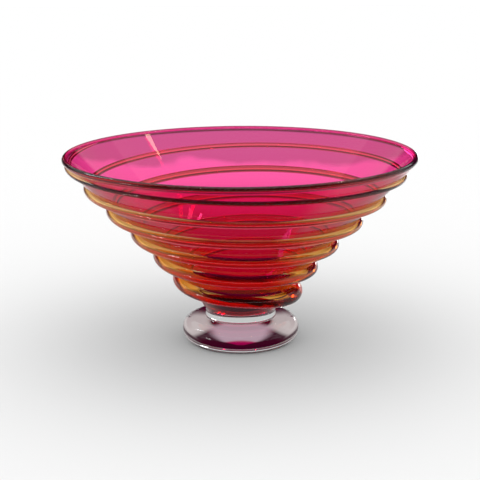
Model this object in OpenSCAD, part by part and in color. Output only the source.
// Footed art-glass bowl: a cased flaring bowl with one wound glass thread, a collar and a disc foot.
// Millimetres, +Z up. The origin is the centre of the foot's flat base.

/* [Bowl] */
// Diameter over the fire-polished lip
rim_d = 300; // [280:1:320]
// Height from the table to the top of the lip
height = 165; // [155:1:180]
// Radius of the rounded bead that finishes the lip
lip_r = 2.35; // [2:0.05:3]
// Height at which the bowl sits on the collar
seat_z = 29; // [26:1:32]

/* [Glass layers] */
// Clear casing thickness just under the lip
casing_top_t = 2.6; // [2.2:0.1:3]
// Clear casing thickness low on the wall
casing_low_t = 4.6; // [4:0.1:5.5]
// Ruby lining thickness just under the lip
lining_top_t = 1.2; // [0.8:0.1:1.4]
// Ruby lining thickness low on the wall
lining_low_t = 3.0; // [2:0.1:3.5]

/* [Thread] */
// Height of the thread's centreline where it was first laid down
thread_z = 45.5; // [44:0.5:48]
// First half turn's rise
half_turn_rise = 11; // [10.5:0.1:11.2]
// How much the rise slackens, per half turn squared
rise_slack = 0.072; // [0.06:0.002:0.08]
// How far the turns dip at the front
front_dip = 1.5; // [0:0.1:2]
// How far the turns wander up at the back
back_lift = 2.8; // [0:0.1:4]
// Half turns wound, counted from +X, clockwise seen from above
thread_end = 11.16; // [10:0.01:11.2]
// Rod radius at the start
rod_r = 6.2; // [5:0.1:6.5]
// Rod radius at the far end
rod_end_r = 1.8; // [1.2:0.1:2]
// Extra rod radius of the fat first dab
dab_r = 2; // [0:0.1:3]
// How much deeper the last turn is sunk in the wall, in rod radii
last_turn_sink = 0.5; // [0:0.05:0.6]

/* [Collar and foot] */
// Collar radius
collar_r = 31; // [29:0.5:32]
// How far the collar's side is drawn in at mid height
collar_waist = 0.5; // [0:0.1:1]
// Foot radius
foot_r = 50.8; // [46:0.1:56]
// Foot thickness at the collar
foot_t = 21; // [19:0.5:22]
// Height of the foot's widest point
foot_wide_z = 10.8; // [9:0.1:12]
// Radius of the flat base
base_r = 42; // [38:0.5:44]
// Radius of the ground and polished hollow under the foot
hollow_r = 13; // [8:0.5:18]
// Depth of that hollow
hollow_depth = 1.2; // [0.5:0.1:2]

/* [Hidden] */
$fn = 180;

RUBY = "#c01850";
CLEAR = "#dfe6e8";
AMBER = "#d88b33";

wall_steps = 44;          // straight pieces in each wall curve
floor_steps = 10;         // straight pieces in each rounded bowl floor
edge_steps = 10;          // straight pieces in each quarter of the foot's edge
lip_sides = 40;           // straight pieces round the lip's bead
floor_start = 0.1;        // where along the wall curve the inside floor begins
shoulder_r = 0.8 * foot_r; // where the foot's top turns over into its round edge
shoulder_drop = 1;        // how far the foot's top falls from the collar to there
rim_r = rim_d / 2;
lip = [rim_r - lip_r, height - lip_r];

// The outside of the wall is one S-shaped curve from the collar to the lip.
wall_curve = [
    [collar_r, seat_z],
    [0.553 * rim_r, 0.63 * height],
    [0.633 * rim_r, 0.588 * height],
    lip + [0.7, -0.49] * lip_r
];

function curve_at(c, t) =
    pow(1 - t, 3) * c[0] + 3 * t * pow(1 - t, 2) * c[1]
    + 3 * t * t * (1 - t) * c[2] + pow(t, 3) * c[3];
function curve_along(c, t) =
    let (d = pow(1 - t, 2) * (c[1] - c[0]) + 2 * t * (1 - t) * (c[2] - c[1])
        + t * t * (c[3] - c[2]))
    d / norm(d);
function wall_at(t) = curve_at(wall_curve, t);
function wall_out(t) = let (d = curve_along(wall_curve, t)) [d[1], -d[0]];

// Layer thickness along the wall: it grows towards the collar, as blown glass does.
function thickness(t, top, low) = top + (low - top) * pow(1 - t, 2);
function casing_depth(t) = thickness(t, casing_top_t, casing_low_t);
function lining_depth(t) = casing_depth(t) + thickness(t, lining_top_t, lining_low_t);

// A surface inside the wall: a round floor from the axis, then the wall up to the lip.
function inner_surface(depths) =
    let (
        start = depths[0],
        along = curve_along(wall_curve, floor_start),
        floor_r = start[0] / along[1],
        floor_centre = start[1] + start[0] * along[0] / along[1],
        sweep = atan2(along[1], along[0])
    )
    concat(
        [for (i = [0 : floor_steps - 1])
            let (a = sweep * i / floor_steps)
            [floor_r * sin(a), floor_centre - floor_r * cos(a)]],
        depths
    );
function steps_up(from_t) =
    [for (i = [0 : wall_steps]) from_t + (1 - from_t) * i / wall_steps];
function outside_of_lining() = inner_surface(
    [for (t = steps_up(floor_start)) wall_at(t) - casing_depth(t) * wall_out(t)]);
function inside_of_lining() = inner_surface(
    [for (t = steps_up(floor_start)) wall_at(t) - lining_depth(t) * wall_out(t)]);
function reversed(list) = [for (i = [len(list) - 1 : -1 : 0]) list[i]];

// Everything inside the casing: the interface between the layers runs on straight through the lip.
module inside_casing() {
    top = wall_at(1) - casing_depth(1) * wall_out(1);
    through_lip = top + 3 * lip_r * curve_along(wall_curve, 1);
    polygon(concat(outside_of_lining(), [through_lip, [0, through_lip[1]]]));
}

// The bead that fire polishing draws the edge up into.
module lip_outline() {
    polygon([for (i = [0 : lip_sides - 1])
        lip + lip_r * [cos(360 * i / lip_sides), sin(360 * i / lip_sides)]]);
}

// Clear casing: the thick outer gather, with the outer part of the rounded lip.
module clear_casing() {
    outside = [for (t = steps_up(0)) wall_at(t)];
    color(CLEAR, 0.4)
        rotate_extrude() difference() {
            union() {
                polygon(concat([[0, seat_z]], outside, reversed(outside_of_lining())));
                lip_outline();
            }
            inside_casing();
        }
}

// Ruby lining: the thin blown bubble of coloured glass inside the casing, up to the top of the lip.
module ruby_lining() {
    color(RUBY, 0.6)
        rotate_extrude() intersection() {
            union() {
                polygon(concat(outside_of_lining(), reversed(inside_of_lining())));
                lip_outline();
            }
            inside_casing();
        }
}

// How far up the wall curve the given height lies, by halving.
function wall_t(z, low = 0, high = 1, left = 20) =
    left == 0 ? (low + high) / 2
    : let (mid = (low + high) / 2)
        wall_at(mid)[1] < z ? wall_t(z, mid, high, left - 1) : wall_t(z, low, mid, left - 1);

// The thread: k counts half turns from +X, clockwise seen from above.
thread_start = -0.16;     // where the first dab begins, in half turns
rings_per_half = 30;      // cross-sections in each half turn
rod_sides = 9;            // straight pieces round the free side of the rod
rod_stand = [0.45, 0.85]; // the centre's distance from the wall, in radii, at the start and the end
dab_length = 0.42;        // half turns over which the dab thins to the rod
sink_start = 9.6;         // where the last turn begins to sink, in half turns
sink_length = 0.8;        // half turns over which it sinks
tip_length = 0.12;        // half turns over which each end rounds off

function thread_height(k) =
    thread_z + half_turn_rise * k - rise_slack * k * k
    - front_dip * sin(180 * k) + back_lift * pow(max(0, -sin(180 * k)), 2);
function ramp(x) = let (c = max(0, min(1, x))) c * c * (3 - 2 * c);
function tip(k) =
    let (e = min(k - thread_start, thread_end - k) / tip_length)
    e >= 1 ? 1 : sqrt(max(0.02, 1 - pow(1 - e, 2)));
function along_thread(k, first, last) = first + (last - first) * max(k, 0) / thread_end;
function rod_radius(k) =
    (along_thread(k, rod_r, rod_end_r) + dab_r * (1 - ramp((k - 0.1) / dab_length))) * tip(k);

// One cross-section: a round rod with its back cut flush with the wall.
function thread_ring(k) =
    let (
        t = wall_t(thread_height(k)),
        out = wall_out(t),
        up = [-out[1], out[0]],
        r = rod_radius(k),
        stand = along_thread(k, rod_stand[0], rod_stand[1])
            - last_turn_sink * ramp((k - sink_start) / sink_length),
        span = acos(-stand),
        seat = wall_at(t),
        clear_of_chords = seat[0] / cos(90 / rings_per_half) - seat[0]
    )
    [for (i = [0 : rod_sides])
        let (
            a = span * (2 * i / rod_sides - 1),
            p = seat + out * r * (stand + cos(a)) + up * r * sin(a),
            x = p[0] + clear_of_chords
        )
        [x * cos(-180 * k), x * sin(-180 * k), p[1]]];

// Spiral thread: one trail of amber glass, fat where it starts and hair-thin where it ends.
module spiral_thread() {
    rings = ceil((thread_end - thread_start) * rings_per_half);
    n = rod_sides + 1;
    points = [
        for (i = [0 : rings]) each thread_ring(thread_start + (thread_end - thread_start) * i / rings)
    ];
    sides = [
        for (i = [0 : rings - 1]) for (j = [0 : n - 1])
            [i * n + j, i * n + (j + 1) % n, (i + 1) * n + (j + 1) % n, (i + 1) * n + j]
    ];
    first_end = [for (j = [n - 1 : -1 : 0]) j];
    last_end = [for (j = [0 : n - 1]) rings * n + j];
    color(AMBER, 0.8)
        polyhedron(points, concat([first_end], sides, [last_end]), convexity = 12);
}

// Collar: the short clear disc between bowl and foot, its side slightly drawn in.
module collar() {
    rise = seat_z - foot_t;
    side = [for (i = [0 : edge_steps])
        let (u = i / edge_steps)
        [collar_r - collar_waist * sin(180 * u), foot_t + rise * u]];
    color(CLEAR, 0.5)
        rotate_extrude() polygon(concat([[0, foot_t]], side, [[0, seat_z]]));
}

// Foot: a thick clear disc with a full round edge, a flat base and a polished hollow under it.
module foot_disc() {
    lower = [for (i = [0 : edge_steps])
        let (a = 90 * i / edge_steps)
        [base_r + (foot_r - base_r) * sin(a), foot_wide_z * (1 - cos(a))]];
    shoulder_z = foot_t - shoulder_drop;
    upper = [for (i = [1 : edge_steps])
        let (a = 90 * i / edge_steps)
        [shoulder_r + (foot_r - shoulder_r) * cos(a), foot_wide_z + (shoulder_z - foot_wide_z) * sin(a)]];
    hollow_ball_r = (hollow_r * hollow_r + hollow_depth * hollow_depth) / (2 * hollow_depth);
    color(CLEAR, 0.5) difference() {
        rotate_extrude()
            polygon(concat([[0, 0]], lower, upper, [[collar_r, foot_t], [0, foot_t]]));
        translate([0, 0, hollow_depth - hollow_ball_r]) sphere(r = hollow_ball_r);
    }
}

clear_casing();
ruby_lining();
spiral_thread();
collar();
foot_disc();
